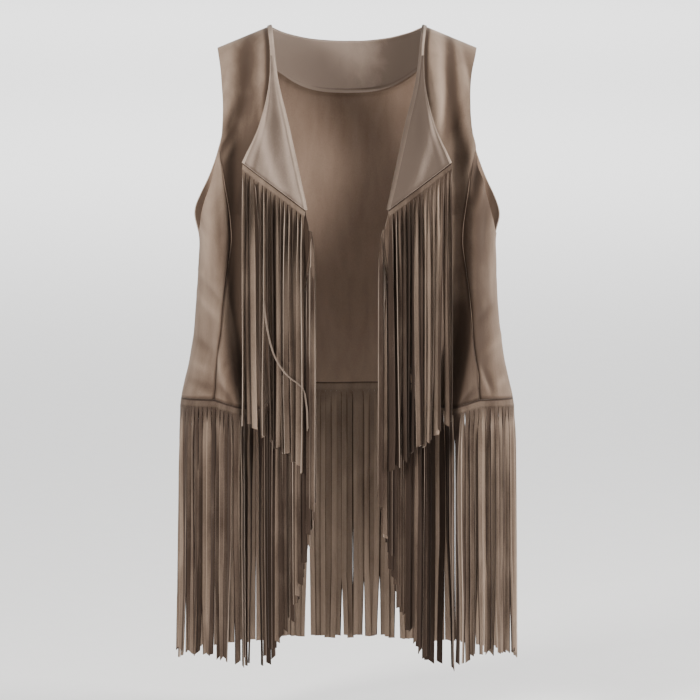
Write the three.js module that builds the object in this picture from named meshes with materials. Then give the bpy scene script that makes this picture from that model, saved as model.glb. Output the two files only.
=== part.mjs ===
import * as THREE from 'three';

// Fringe vest. Millimetres, +Z up, the front faces -Y.
// The origin is midway between the two neck points, at shoulder height.
const wallThick = 1.6;
const facingThick = 1.1;
const fringeThick = 1.2;
const seamGap = 0.4;
const trimGap = 0.85;
const neckHalf = 104;
const neckPointZ = -4;
const shoulderFall = 0.414;
const domeDepth = 110;
const trimLength = 345;
const backTrimLength = 358;
const headerHeight = 13;
const strandWidth = 6.3;
const lapelRows = 11;
const degree = Math.PI / 180;

// Body section at each height: half width and the depth of front and back.
const bodySections = [
  { z: 30, halfWidth: 207, front: 66, back: 60 },
  { z: 0, halfWidth: 207, front: 76, back: 66 },
  { z: -60, halfWidth: 207, front: 90, back: 84 },
  { z: -100, halfWidth: 211, front: 100, back: 99 },
  { z: -166, halfWidth: 209, front: 112, back: 105 },
  { z: -213, halfWidth: 209, front: 118, back: 103 },
  { z: -256, halfWidth: 209, front: 122, back: 100 },
  { z: -283, halfWidth: 200, front: 123, back: 98 },
  { z: -336, halfWidth: 201, front: 124, back: 98 },
  { z: -406, halfWidth: 206, front: 122, back: 104 },
  { z: -450, halfWidth: 212, front: 120, back: 112 },
  { z: -510, halfWidth: 225, front: 118, back: 128 },
  { z: -860, halfWidth: 231, front: 118, back: 131 },
];

// Edges of the centre front, row by row: roll line or cutaway edge inside, armhole or seam outside.
const frontRows = [
  { inX: 100.0, inZ: -4, outX: 174.0, outZ: -33, roll: 1.0 },
  { inX: 98.5, inZ: -12, outX: 172.0, outZ: -42, roll: 1.1 },
  { inX: 96.5, inZ: -28, outX: 169.0, outZ: -58, roll: 1.3 },
  { inX: 94.0, inZ: -50, outX: 166.5, outZ: -78, roll: 1.8 },
  { inX: 90.0, inZ: -75, outX: 165.0, outZ: -99, roll: 2.6 },
  { inX: 83.5, inZ: -101, outX: 165.5, outZ: -120, roll: 3.2 },
  { inX: 76.5, inZ: -128, outX: 167.5, outZ: -143, roll: 3.4 },
  { inX: 70.5, inZ: -155, outX: 170.5, outZ: -165, roll: 3.2 },
  { inX: 64.5, inZ: -182, outX: 166.5, outZ: -188, roll: 2.8 },
  { inX: 58.5, inZ: -210, outX: 162.0, outZ: -212, roll: 2.2 },
  { inX: 52.0, inZ: -240, outX: 157.5, outZ: -238, roll: 1.2 },
  { inX: 50.5, inZ: -264, outX: 154.5, outZ: -264, roll: 0 },
  { inX: 50.5, inZ: -290, outX: 154.0, outZ: -290, roll: 0 },
  { inX: 54.5, inZ: -318, outX: 157.0, outZ: -316, roll: 0 },
  { inX: 60.0, inZ: -346, outX: 160.5, outZ: -342, roll: 0 },
  { inX: 65.5, inZ: -376, outX: 164.0, outZ: -370, roll: 0 },
  { inX: 71.0, inZ: -406, outX: 167.5, outZ: -398, roll: 0 },
  { inX: 77.0, inZ: -433, outX: 170.5, outZ: -424, roll: 0 },
  { inX: 87.0, inZ: -453, outX: 173.0, outZ: -446, roll: 0 },
  { inX: 96.0, inZ: -474, outX: 175.0, outZ: -465, roll: 0 },
  { inX: 105.0, inZ: -494, outX: 176.5, outZ: -482, roll: 0 },
  { inX: 117.0, inZ: -512, outX: 178.0, outZ: -499, roll: 0 },
];

// Outer edge of the turned-back lapel, one row for each of the first front rows.
const lapelEdge = [
  { x: 106.5, z: -6, lift: 0.5 },
  { x: 104.5, z: -14, lift: 0.8 },
  { x: 102.6, z: -29, lift: 1.0 },
  { x: 102.0, z: -48, lift: 1.6 },
  { x: 102.5, z: -68, lift: 3.0 },
  { x: 105.5, z: -90, lift: 6.0 },
  { x: 110.5, z: -111, lift: 9.0 },
  { x: 117.0, z: -132, lift: 12.0 },
  { x: 124.5, z: -150, lift: 14.0 },
  { x: 131.5, z: -164, lift: 16.0 },
  { x: 138.0, z: -178, lift: 17.0 },
];

// Folds of the front: a trough has a positive depth, a ridge a negative one.
const frontFolds = [
  { name: 'valley', z: -60, x: 133, width: 14, depth: 0 },
  { name: 'valley', z: -120, x: 139, width: 15, depth: 10 },
  { name: 'valley', z: -200, x: 145, width: 15, depth: 18 },
  { name: 'valley', z: -300, x: 145, width: 16, depth: 25 },
  { name: 'valley', z: -400, x: 142, width: 17, depth: 31 },
  { name: 'valley', z: -460, x: 131, width: 18, depth: 35 },
  { name: 'valley', z: -520, x: 117, width: 18, depth: 37 },
  { name: 'inner ridge', z: -230, x: 112, width: 18, depth: 0 },
  { name: 'inner ridge', z: -300, x: 112, width: 18, depth: -5 },
  { name: 'inner ridge', z: -400, x: 110, width: 17, depth: -7 },
  { name: 'inner ridge', z: -520, x: 90, width: 15, depth: -7 },
  { name: 'outer ridge', z: -90, x: 156, width: 10, depth: 0 },
  { name: 'outer ridge', z: -150, x: 160, width: 10, depth: -2 },
  { name: 'outer ridge', z: -300, x: 172, width: 14, depth: -4 },
  { name: 'outer ridge', z: -400, x: 168, width: 15, depth: -6 },
  { name: 'outer ridge', z: -520, x: 145, width: 13, depth: -9 },
  { name: 'opening edge', z: -60, x: 90, width: 24, depth: 0 },
  { name: 'opening edge', z: -190, x: 62, width: 30, depth: -5 },
  { name: 'opening edge', z: -290, x: 47, width: 32, depth: -11 },
  { name: 'opening edge', z: -400, x: 66, width: 30, depth: -6 },
  { name: 'opening edge', z: -520, x: 96, width: 24, depth: 0 },
];

// Armhole edge of the side front, and its princess seam, as angles round the body.
const sideTop = [
  { angle: 54.0, z: -165 },
  { angle: 58.4, z: -187 },
  { angle: 63.0, z: -213 },
  { angle: 68.0, z: -235 },
  { angle: 73.0, z: -259 },
  { angle: 80.0, z: -275 },
  { angle: 90.0, z: -283 },
];

// Back: its outer edge runs down the armhole and then the side seam.
const backEdge = [
  { z: -33, angle: 57.2 },
  { z: -64, angle: 54.7 },
  { z: -99, angle: 51.9 },
  { z: -128, angle: 52.7 },
  { z: -166, angle: 55.9 },
  { z: -205, angle: 62.9 },
  { z: -235, angle: 72.5 },
  { z: -256, angle: 81.0 },
  { z: -270, angle: 86.0 },
  { z: -283, angle: 90.0 },
  { z: -520, angle: 90.0 },
];
const backNeck = [
  { x: 0, z: -27 },
  { x: 24, z: -26.2 },
  { x: 45, z: -24 },
  { x: 67, z: -19.5 },
  { x: 88, z: -12.5 },
  { x: 104, z: -4 },
];
const facingLower = [
  { x: 0, z: -99 },
  { x: 35, z: -97 },
  { x: 57, z: -92 },
  { x: 78, z: -82 },
  { x: 98, z: -68 },
  { x: 125, z: -50 },
  { x: 156, z: -40 },
];
const backColumns = [0, 0.13, 0.26, 0.39, 0.527, 0.64, 0.75, 0.84, 0.92, 1];
const backRowsZ = [-33, -42, -58, -80, -106, -135, -165, -195, -222, -246, -264, -283, -318, -360,
  -405, -455, -505];

const clamp = (value, low, high) => Math.min(high, Math.max(low, value));
const mix = (a, b, t) => a + (b - a) * t;

// Smooth value of one column of a table at a key that falls or rises along the rows.
function tableValue(rows, keyName, valueName, key) {
  const sign = rows[1][keyName] > rows[0][keyName] ? 1 : -1;
  let i = 0;
  while (i < rows.length - 2 && sign * (key - rows[i + 1][keyName]) > 0) i += 1;
  const a = rows[i];
  const b = rows[i + 1];
  const span = b[keyName] - a[keyName];
  const t = clamp((key - a[keyName]) / span, 0, 1);
  const slope = (p, q) => (q[valueName] - p[valueName]) / (q[keyName] - p[keyName]);
  const middle = slope(a, b);
  const before = i > 0 ? (slope(rows[i - 1], a) + middle) / 2 : middle;
  const after = i < rows.length - 2 ? (slope(b, rows[i + 2]) + middle) / 2 : middle;
  const t2 = t * t;
  const t3 = t2 * t;
  return (2 * t3 - 3 * t2 + 1) * a[valueName] + (t3 - 2 * t2 + t) * span * before
    + (3 * t2 - 2 * t3) * b[valueName] + (t3 - t2) * span * after;
}

function seededRandom(seed) {
  let state = seed;
  return () => {
    state = (state * 16807) % 2147483647;
    return state / 2147483647;
  };
}

const shoulderZ = (x) => neckPointZ - (Math.abs(x) - neckHalf) * shoulderFall;
const section = (name, z) => tableValue(bodySections, 'z', name, z);

const foldNames = [...new Set(frontFolds.map((row) => row.name))];
const foldTables = foldNames.map((name) => frontFolds.filter((row) => row.name === name));

function frontFold(x, z) {
  let sum = 0;
  for (const rows of foldTables) {
    const top = rows[0].z;
    if (z > top) continue;
    const centre = tableValue(rows, 'z', 'x', z);
    const width = tableValue(rows, 'z', 'width', z);
    const depth = tableValue(rows, 'z', 'depth', z);
    sum += depth * Math.exp(-(((x - centre) / width) ** 2));
  }
  const angle = Math.asin(clamp(x / section('halfWidth', z), 0, 1)) / degree;
  return sum * clamp((86 - angle) / 22, 0, 1);
}

function backFold(x, z) {
  const grow = clamp((-z - 120) / 380, 0, 1);
  const reach = clamp(1 - (Math.abs(x) / 205) ** 4, 0, 1);
  return 4.5 * grow * reach * Math.cos(x / 19 + 0.6);
}

// Squared form of the body: zero on its outer face, positive outside.
function bodyField(half, x, y, z) {
  const a = section('halfWidth', z);
  const b = section(half, z);
  const h = shoulderZ(x) - z;
  const dome = h < domeDepth ? 1 - (1 - h / domeDepth) ** 2 : 1;
  const fold = half === 'front' ? frontFold(Math.abs(x), z) : -backFold(x, z);
  return (y - fold) ** 2 - b * b * (1 - (x / a) ** 2) * dome;
}

function bodyPoint(half, x, z, angleCos) {
  const a = section('halfWidth', z);
  const b = section(half, z);
  const h = Math.max(0, shoulderZ(x) - z);
  const dome = h < domeDepth ? Math.sqrt(1 - (1 - h / domeDepth) ** 2) : 1;
  const across = angleCos === undefined ? Math.sqrt(Math.max(0, 1 - (x / a) ** 2)) : angleCos;
  const fade = clamp(h / 30, 0, 1);
  if (half === 'front') return new THREE.Vector3(x, -b * across * dome + frontFold(Math.abs(x), z) * fade, z);
  return new THREE.Vector3(x, b * across * dome - backFold(x, z) * fade, z);
}

// Outward normal of the body's form.
function bodyNormal(half, p) {
  const s = 0.2;
  const f = (x, y, z) => bodyField(half, x, y, z);
  const n = new THREE.Vector3(
    f(p.x + s, p.y, p.z) - f(p.x - s, p.y, p.z),
    f(p.x, p.y + s, p.z) - f(p.x, p.y - s, p.z),
    f(p.x, p.y, p.z + s) - f(p.x, p.y, p.z - s),
  );
  return n.normalize();
}

// Outer and inner face of the body's wall at one point.
function bodyPair(half, x, z, depthIn = 0, thick = wallThick, angleCos = undefined) {
  const p = bodyPoint(half, x, z, angleCos);
  const n = bodyNormal(half, p);
  return [p.clone().addScaledVector(n, -depthIn), p.clone().addScaledVector(n, -depthIn - thick)];
}

// A closed wall from a grid of point pairs; cells left out by keep are open.
function gridWall(pairs, keep = () => true) {
  const rows = pairs.length;
  const columns = pairs[0].length;
  const points = [];
  const index = new Map();
  const at = (j, i, face) => {
    const key = `${j},${i},${face}`;
    if (!index.has(key)) {
      index.set(key, points.length);
      points.push(pairs[j][i][face]);
    }
    return index.get(key);
  };
  const faces = [];
  const quad = (a, b, c, d) => faces.push([a, b, c], [a, c, d]);
  const inside = (j, i) => j >= 0 && i >= 0 && j < rows - 1 && i < columns - 1 && keep(j, i);
  for (let j = 0; j < rows - 1; j += 1) {
    for (let i = 0; i < columns - 1; i += 1) {
      if (!inside(j, i)) continue;
      quad(at(j, i, 0), at(j + 1, i, 0), at(j + 1, i + 1, 0), at(j, i + 1, 0));
      quad(at(j, i, 1), at(j, i + 1, 1), at(j + 1, i + 1, 1), at(j + 1, i, 1));
      if (!inside(j - 1, i)) quad(at(j, i, 1), at(j, i, 0), at(j, i + 1, 0), at(j, i + 1, 1));
      if (!inside(j + 1, i)) quad(at(j + 1, i, 0), at(j + 1, i, 1), at(j + 1, i + 1, 1), at(j + 1, i + 1, 0));
      if (!inside(j, i - 1)) quad(at(j, i, 0), at(j, i, 1), at(j + 1, i, 1), at(j + 1, i, 0));
      if (!inside(j, i + 1)) quad(at(j, i + 1, 1), at(j, i + 1, 0), at(j + 1, i + 1, 0), at(j + 1, i + 1, 1));
    }
  }
  return { points, faces };
}

// Backing strip with a strand hanging from every second cell, all one body.
function fringeWall(stations, strands) {
  const points = [];
  const faces = [];
  const add = (p) => points.push(p) - 1;
  const quad = (a, b, c, d) => faces.push([a, b, c], [a, c, d]);
  const ids = stations.map((s) => ({
    topOut: add(s.topOut), topIn: add(s.topIn), lowOut: add(s.lowOut), lowIn: add(s.lowIn),
  }));
  const last = ids.length - 1;
  for (let i = 0; i < last; i += 1) {
    const a = ids[i];
    const b = ids[i + 1];
    quad(a.topOut, a.lowOut, b.lowOut, b.topOut);
    quad(a.topIn, b.topIn, b.lowIn, a.lowIn);
    quad(a.topIn, a.topOut, b.topOut, b.topIn);
    if (i % 2 === 1) quad(a.lowOut, a.lowIn, b.lowIn, b.lowOut);
  }
  quad(ids[0].topOut, ids[0].topIn, ids[0].lowIn, ids[0].lowOut);
  quad(ids[last].topIn, ids[last].topOut, ids[last].lowOut, ids[last].lowIn);
  strands.forEach((rings, k) => {
    let ring = [ids[2 * k].lowOut, ids[2 * k + 1].lowOut, ids[2 * k + 1].lowIn, ids[2 * k].lowIn];
    for (const corners of rings) {
      const next = corners.map(add);
      for (let c = 0; c < 4; c += 1) {
        const d = (c + 1) % 4;
        quad(ring[d], ring[c], next[c], next[d]);
      }
      ring = next;
    }
    quad(ring[0], ring[3], ring[2], ring[1]);
  });
  return { points, faces };
}

function signedVolume({ points, faces }) {
  const cross = new THREE.Vector3();
  return faces.reduce((sum, [a, b, c]) => sum
    + points[a].dot(cross.crossVectors(points[b], points[c])) / 6, 0);
}

const suede = new THREE.MeshStandardMaterial({ color: 0xa08d7c, roughness: 0.9 });
const suedeDark = new THREE.MeshStandardMaterial({ color: 0x86715f, roughness: 0.92 });
const group = new THREE.Group();

function addNode(name, solid, side, material = suede) {
  const flat = [];
  const points = solid.points.map((p) => new THREE.Vector3(p.x * side, p.y, p.z));
  const flip = signedVolume({ points, faces: solid.faces }) < 0;
  for (const [a, b, c] of solid.faces) {
    for (const i of flip ? [a, c, b] : [a, b, c]) flat.push(points[i].x, points[i].y, points[i].z);
  }
  const geometry = new THREE.BufferGeometry();
  geometry.setAttribute('position', new THREE.Float32BufferAttribute(flat, 3));
  geometry.computeVertexNormals();
  const mesh = new THREE.Mesh(geometry, material);
  mesh.name = name;
  group.add(mesh);
}

// Centre front: body columns from the outer edge in, then the roll, then the lapel.
const frontColumns = [0, 0.06, 0.13, 0.2, 0.27, 0.34, 0.41, 0.48, 0.55, 0.62, 0.7, 0.78, 0.86, 0.93, 1];
const rollAngles = [-45, 0, 45, 90];
const lapelColumns = [0.14, 0.36, 0.58, 0.8, 1];

function lapelFace(row, edge, centre, t) {
  const x = mix(centre.x, edge.x, t);
  const z = row === frontRows[0] ? shoulderZ(x) : mix(centre.z, edge.z, t);
  const fall = bodyBase(x, z) - bodyBase(centre.x, centre.z);
  const y = centre.y - row.roll - wallThick + fall - edge.lift * t ** 1.4;
  return new THREE.Vector3(x, y, z);
}

function bodyBase(x, z) {
  const h = Math.max(0, shoulderZ(x) - z);
  const dome = h < domeDepth ? Math.sqrt(1 - (1 - h / domeDepth) ** 2) : 1;
  return -section('front', z) * Math.sqrt(1 - (x / section('halfWidth', z)) ** 2) * dome;
}

function rollCentre(row) {
  const x = row.inX + row.roll + wallThick;
  const z = row === frontRows[0] ? shoulderZ(x) : row.inZ;
  const back = row === frontRows[0] ? row.roll + wallThick + seamGap : row.roll;
  return new THREE.Vector3(x, bodyPoint('front', x, z).y - back, z);
}

function lapelPair(j, t, depthOut = 0, thick = wallThick) {
  const row = frontRows[j];
  const edge = lapelEdge[j];
  const centre = rollCentre(row);
  const seen = lapelFace(row, edge, centre, t);
  const along = lapelFace(row, edge, centre, Math.min(1, t + 0.02))
    .sub(lapelFace(row, edge, centre, Math.max(0, t - 0.02)));
  const up = frontRows[Math.max(0, j - 1)];
  const down = frontRows[Math.min(lapelRows - 1, j + 1)];
  const rise = lapelFace(up, lapelEdge[Math.max(0, j - 1)], rollCentre(up), t)
    .sub(lapelFace(down, lapelEdge[Math.min(lapelRows - 1, j + 1)], rollCentre(down), t));
  const n = new THREE.Vector3().crossVectors(rise, along).normalize();
  if (n.y < 0) n.negate();
  const bend = clamp(t / 0.2, 0, 1);
  n.set(n.x * bend, n.y, n.z * bend).normalize();
  return [seen.clone().addScaledVector(n, thick - depthOut), seen.clone().addScaledVector(n, -depthOut)];
}

function frontPairs() {
  return frontRows.map((row, j) => {
    const centre = rollCentre(row);
    const innerX = j < lapelRows ? centre.x : row.inX;
    const pairs = frontColumns.map((s) => {
      const outX = row.outX - seamGap;
      const x = mix(outX, innerX, s);
      const z = j === 0 ? shoulderZ(x) : mix(row.outZ, row.inZ, s);
      const p = bodyPair('front', x, z);
      if (j < lapelRows && s === 1) {
        const face = new THREE.Vector3(x, centre.y + row.roll, z);
        const inner = face.clone().setY(face.y + wallThick);
        return j === 0 ? [face, inner].map((v) => v.setY(Math.min(v.y, -seamGap / 2))) : [face, inner];
      }
      if (j === 0) return p.map((v) => v.setY(Math.min(v.y, -seamGap / 2)));
      return p;
    });
    for (const angle of rollAngles) {
      const c = Math.cos(angle * degree);
      const s = Math.sin(angle * degree);
      const arc = (r) => new THREE.Vector3(centre.x - r * c, centre.y - r * s, centre.z);
      pairs.push([arc(Math.max(row.roll, 0.5)), arc(Math.max(row.roll, 0.5) + wallThick)]);
    }
    for (const t of lapelColumns) {
      pairs.push(j < lapelRows ? lapelPair(j, t) : [centre.clone(), centre.clone()]);
    }
    return pairs;
  });
}

const bodyCells = frontColumns.length - 1;
const frontGrid = frontPairs();

// Side front: from the princess seam round to the side seam.
const sideColumns = [0, 0.16, 0.33, 0.5, 0.67, 0.84, 1];
const sideLevels = [0, 0.08, 0.17, 0.27, 0.38, 0.5, 0.62, 0.74, 0.86, 1];

function sidePairs() {
  const princess = frontRows.filter((row) => row.outZ <= -165);
  return sideLevels.map((t) => sideColumns.map((s) => {
    const topAngle = mix(54.0, 90, s);
    const zTop = tableValue(sideTop, 'angle', 'z', topAngle);
    const z = mix(zTop, -499 - 6 * s, t);
    const a = section('halfWidth', z);
    const seamX = tableValue(princess, 'outZ', 'outX', Math.min(z, -165));
    const first = Math.asin(seamX / a) / degree;
    const angle = mix(first, 90, s) + (s === 0 ? 0.15 : 0) - (s === 1 ? 0.12 : 0);
    const x = a * Math.sin(angle * degree);
    return bodyPair('front', x, z, 0, wallThick, Math.cos(angle * degree));
  }));
}
const sideGrid = sidePairs();

// Back: columns from the left side seam across to the right one.
function backPair(s, zEdge, depthIn = 0, thick = wallThick) {
  const t = (zEdge + 33) / (-505 + 33);
  const side = Math.sign(s) || 1;
  const edgeAngle = Math.min(90, tableValue(backEdge, 'z', 'angle', zEdge));
  const topX = section('halfWidth', -33) * Math.sin(57.2 * Math.abs(s) * degree);
  const zTop = topX < neckHalf ? tableValue(backNeck, 'x', 'z', topX) : shoulderZ(topX);
  const zHem = -500 - 5 * s * s;
  const z = mix(zTop, zHem, t);
  const a = t === 0 ? section('halfWidth', -33) : section('halfWidth', z);
  const angle = edgeAngle * Math.abs(s) - (Math.abs(s) === 1 && zEdge <= -283 ? 0.12 : 0);
  const x = a * Math.sin(angle * degree) * side;
  const pair = bodyPair('back', x, z, depthIn, thick, Math.cos(angle * degree));
  return t === 0 ? pair.map((v) => v.setY(Math.max(v.y, seamGap / 2))) : pair;
}
const backAcross = [...backColumns.slice(1).reverse().map((s) => -s), ...backColumns];
const backGrid = backRowsZ.map((z) => backAcross.map((s) => backPair(s, z)));

// A thin layer beyond the second face of a wall's point pair.
function layerOn(pair, gap, thick) {
  const n = pair[1].clone().sub(pair[0]).normalize();
  return [pair[1].clone().addScaledVector(n, gap), pair[1].clone().addScaledVector(n, gap + thick)];
}

// Point pair inside a grid at a row and column with fractions, on its own facets.
function onGrid(grid, row, column) {
  const j = Math.min(grid.length - 2, Math.floor(row));
  const i = Math.min(grid[0].length - 2, Math.floor(column));
  const v = row - j;
  const u = column - i;
  return [0, 1].map((face) => {
    const p = (jj, ii) => grid[jj][ii][face].clone();
    const out = new THREE.Vector3();
    if (v >= u) {
      out.addScaledVector(p(j, i), 1 - v).addScaledVector(p(j + 1, i), v - u);
      return out.addScaledVector(p(j + 1, i + 1), u);
    }
    out.addScaledVector(p(j, i), 1 - u).addScaledVector(p(j, i + 1), u - v);
    return out.addScaledVector(p(j + 1, i + 1), v);
  });
}

// Back neck facing: a band inside the neck that runs out along both shoulder seams.
const facingAcross = backAcross.map((s, i) => ({ s, i })).filter(({ s }) => Math.abs(s) <= 0.75);
const facingGrid = [0, 0.34, 0.67, 1].map((t) => facingAcross.map(({ s, i }) => {
  const columnX = backGrid[2][i][1].x;
  const lowZ = tableValue(facingLower, 'x', 'z', Math.abs(columnX));
  let low = 0;
  while (low < backRowsZ.length - 1 && onGrid(backGrid, low, i)[1].z > lowZ) low += 0.05;
  return layerOn(onGrid(backGrid, mix(0, Math.max(low, 0.6), t), i), 0.9, facingThick);
}));

// Lapel facing: a thin layer on the seen face of the lapel.
const lapelFacingGrid = frontGrid.slice(3, lapelRows).map((row) => {
  const first = frontColumns.length + rollAngles.length;
  const pairs = lapelColumns.map((t, k) => row[first + k]);
  const last = pairs.length - 1;
  pairs[last] = [0, 1].map((f) => pairs[last - 1][f].clone().lerp(pairs[last][f], 0.93));
  return pairs.map((pair) => layerOn(pair, seamGap, facingThick));
});

// Points along an edge, each with its outer and inner point and the way down from it.
function edgeLine(entries) {
  const line = entries.map(({ pair, inner }) => ({
    out: pair[0].clone(), in: pair[1].clone(),
    inward: inner[0].clone().sub(pair[0]).normalize(),
  }));
  let length = 0;
  line.forEach((e, i) => {
    if (i > 0) length += e.out.distanceTo(line[i - 1].out);
    e.length = length;
  });
  line.forEach((e, i) => {
    const a = line[Math.max(0, i - 1)];
    const b = line[Math.min(line.length - 1, i + 1)];
    const along = b.out.clone().sub(a.out).normalize();
    const out = e.inward.clone().negate();
    out.addScaledVector(along, -out.dot(along)).normalize();
    e.down = out;
    e.along = along;
  });
  return line;
}

function edgeAt(line, length) {
  let i = 0;
  while (i < line.length - 2 && line[i + 1].length < length) i += 1;
  const a = line[i];
  const b = line[i + 1];
  const t = clamp((length - a.length) / (b.length - a.length), 0, 1);
  return {
    out: a.out.clone().lerp(b.out, t),
    in: a.in.clone().lerp(b.in, t),
    down: a.down.clone().lerp(b.down, t).normalize(),
    along: a.along.clone().lerp(b.along, t).normalize(),
  };
}

function stationAt(line, length, header, sag) {
  const e = edgeAt(line, length);
  const out = e.out.clone().lerp(e.in, 0.1);
  const inner = e.out.clone().lerp(e.in, 0.1 + fringeThick / wallThick);
  const fall = e.down.clone().lerp(new THREE.Vector3(0, 0, -1), sag).normalize();
  const gap = trimGap + (line.corner ? 1.2 * Math.exp(-(((length - line.corner) / 7) ** 2)) : 0);
  return {
    topOut: out.clone().addScaledVector(e.down, gap),
    topIn: inner.clone().addScaledVector(e.down, gap),
    lowOut: out.clone().addScaledVector(e.down, gap).addScaledVector(fall, header),
    lowIn: inner.clone().addScaledVector(e.down, gap).addScaledVector(fall, header),
  };
}

// Fringe on an edge line; plan gives the pitch, sag and the rings of each strand.
function makeFringe(line, plan) {
  const total = line[line.length - 1].length;
  const stations = [];
  const strands = [];
  const random = seededRandom(plan.seed);
  let at = plan.start;
  while (at + plan.width(at / total) < total - plan.finish) {
    const width = plan.width(at / total);
    const share = at / total;
    const a = stationAt(line, at, plan.header(share), plan.sag(share));
    const b = stationAt(line, at + width, plan.header(share), plan.sag(share));
    stations.push(a, b);
    const centre = a.lowOut.clone().add(b.lowOut).add(a.lowIn).add(b.lowIn).multiplyScalar(0.25);
    const across = b.lowOut.clone().sub(a.lowOut).setZ(0);
    const seam = a.topOut.clone().add(b.topOut).multiplyScalar(0.5);
    strands.push(plan.strand({ share, centre, seam, across, width, random, index: strands.length }));
    at += plan.pitch(share, strands.length);
  }
  return { solid: fringeWall(stations, strands), count: strands.length };
}

// One ring of a strand: its centre, the level turn of its width, and the size.
function strandRing(centre, yaw, width) {
  const w = new THREE.Vector3(Math.cos(yaw), Math.sin(yaw), 0).multiplyScalar(width / 2);
  const d = new THREE.Vector3(Math.sin(yaw), -Math.cos(yaw), 0).multiplyScalar(fringeThick / 2);
  return [
    centre.clone().sub(w).sub(d), centre.clone().add(w).sub(d),
    centre.clone().add(w).add(d), centre.clone().sub(w).add(d),
  ];
}

// Back fringe, from the right side seam to the left one.
const backLine = edgeLine([...backAcross.keys()].map((i) => ({
  pair: backGrid[backGrid.length - 1][i], inner: backGrid[backGrid.length - 2][i],
})));
const backFringe = makeFringe(backLine, {
  seed: 11,
  start: 1.2,
  finish: 1.0,
  pitch: (share, k) => 7.75 + 0.35 * Math.sin(k * 1.7),
  width: () => strandWidth,
  header: () => headerHeight,
  sag: () => 0.25,
  strand: ({ centre, seam, across, random }) => {
    const yaw = Math.atan2(across.y, across.x);
    const end = seam.z - backTrimLength + 8 * (random() - 0.5);
    const away = new THREE.Vector3(centre.x / 50, centre.y / 26, 0).normalize();
    const sway = (random() - 0.5) * 0.12;
    const half = centre.clone().addScaledVector(away, 1.5).setZ(centre.z - 130);
    const low = centre.clone().addScaledVector(away, 4).setZ(end);
    return [strandRing(half, yaw + sway, strandWidth - 0.2), strandRing(low, yaw - sway, strandWidth)];
  },
});

// Hem fringe of one front: side hem, front hem, then up the cutaway edge.
const lastSide = sideGrid.length - 1;
const lastFront = frontGrid.length - 1;
const hemEntries = [];
for (let i = sideColumns.length - 1; i >= 0; i -= 1) {
  hemEntries.push({ pair: sideGrid[lastSide][i], inner: sideGrid[lastSide - 1][i] });
}
for (let i = 1; i < bodyCells; i += 1) {
  hemEntries.push({ pair: frontGrid[lastFront][i], inner: frontGrid[lastFront - 1][i] });
}
for (let j = lastFront; j > lapelRows; j -= 1) {
  const inner = j === lastFront ? frontGrid[j - 1][bodyCells - 2] : frontGrid[j][bodyCells - 1];
  hemEntries.push({ pair: frontGrid[j][bodyCells], inner });
}
const hemLine = edgeLine(hemEntries);
const hemTotal = hemLine[hemLine.length - 1].length;
hemLine.corner = hemLine[sideColumns.length + bodyCells - 1].length;
const cornerShare = hemLine.corner / hemTotal;

function hemFringe(seed) {
  return makeFringe(hemLine, {
    seed,
    start: 1.0,
    finish: 3,
    pitch: (share, k) => (share < cornerShare - 0.06 ? 7.75 + 0.3 * Math.sin(k * 1.3) : 11.2),
    width: (share) => (share < cornerShare - 0.03 ? strandWidth : 5.2),
    header: (share) => (share < cornerShare - 0.06 ? headerHeight : 4.5),
    sag: (share) => (share < cornerShare - 0.06 ? 0.25 : 0.3),
    strand: ({ share, centre, seam, across, random }) => {
      const along = Math.atan2(across.y, across.x);
      const steep = clamp((share - cornerShare + 0.04) / 0.12, 0, 1);
      const stack = Math.atan2(0.64, -0.77);
      const yaw = steep > 0 ? mix(along, stack + 2 * Math.PI * Math.round((along - stack) / (2 * Math.PI)), steep) : along;
      const end = seam.z - trimLength + 6 * (random() - 0.5);
      const sway = (random() - 0.5) * 0.1 * (1 - steep);
      const top = centre.clone();
      const out = new THREE.Vector3(centre.x / 50, centre.y / 26, 0).normalize().multiplyScalar(1 - steep);
      top.x -= 1.2 * steep;
      top.y -= 1.6 * steep;
      const first = top.clone().addScaledVector(out, 0.6).setZ(centre.z - 14);
      const half = top.clone().addScaledVector(out, 1.6).setZ(centre.z - 130);
      const low = top.clone().addScaledVector(out, 3).setZ(end);
      const rings = [strandRing(half, yaw + sway, strandWidth - 0.2), strandRing(low, yaw - sway, strandWidth)];
      return steep > 0 ? [strandRing(first, yaw, 5), ...rings] : rings;
    },
  });
}

// Lapel fringe: hangs from the lower edge of the lapel, edge-on near its root.
const lapelStart = bodyCells + rollAngles.length;
const lapelEntries = [];
for (let i = lapelStart + lapelColumns.length; i >= lapelStart - 1; i -= 1) {
  lapelEntries.push({ pair: [...frontGrid[lapelRows - 1][i]].reverse(), inner: frontGrid[lapelRows - 2][i] });
}
const lapelLine = edgeLine(lapelEntries.map(({ pair, inner }) => ({ pair, inner: [inner[1], inner[0]] })));

function frontmost(x, zTop, zEnd) {
  let y = 0;
  for (let z = zTop; z > Math.max(zEnd, -512); z -= 12) y = Math.min(y, bodyPoint('front', x, z).y);
  return y;
}

function lapelFringe(seed) {
  return makeFringe(lapelLine, {
    seed,
    start: 1.2,
    finish: 0.6,
    pitch: () => 6.3,
    width: () => 4.6,
    header: () => 9,
    sag: () => 0.8,
    strand: ({ share, centre, seam, random, index }) => {
      const turn = (index % 2 ? 1 : -1) * 0.12 + 1.15;
      const end = seam.z - trimLength + 5 * (random() - 0.5);
      const rest = Math.min(centre.y - 1, frontmost(centre.x, centre.z - 20, end) - 6.5);
      const first = centre.clone().setZ(centre.z - 12);
      const half = new THREE.Vector3(centre.x, mix(centre.y, rest, 0.7), centre.z - 110);
      const low = new THREE.Vector3(centre.x - 1 * share, rest, end);
      return [
        strandRing(first, Math.PI - turn, 4.8),
        strandRing(half, Math.PI - turn, 5.2),
        strandRing(low, Math.PI - turn * 0.9, 5.2),
      ];
    },
  });
}

const keepFront = (j, i) => i < bodyCells || j < lapelRows - 1;

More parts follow.
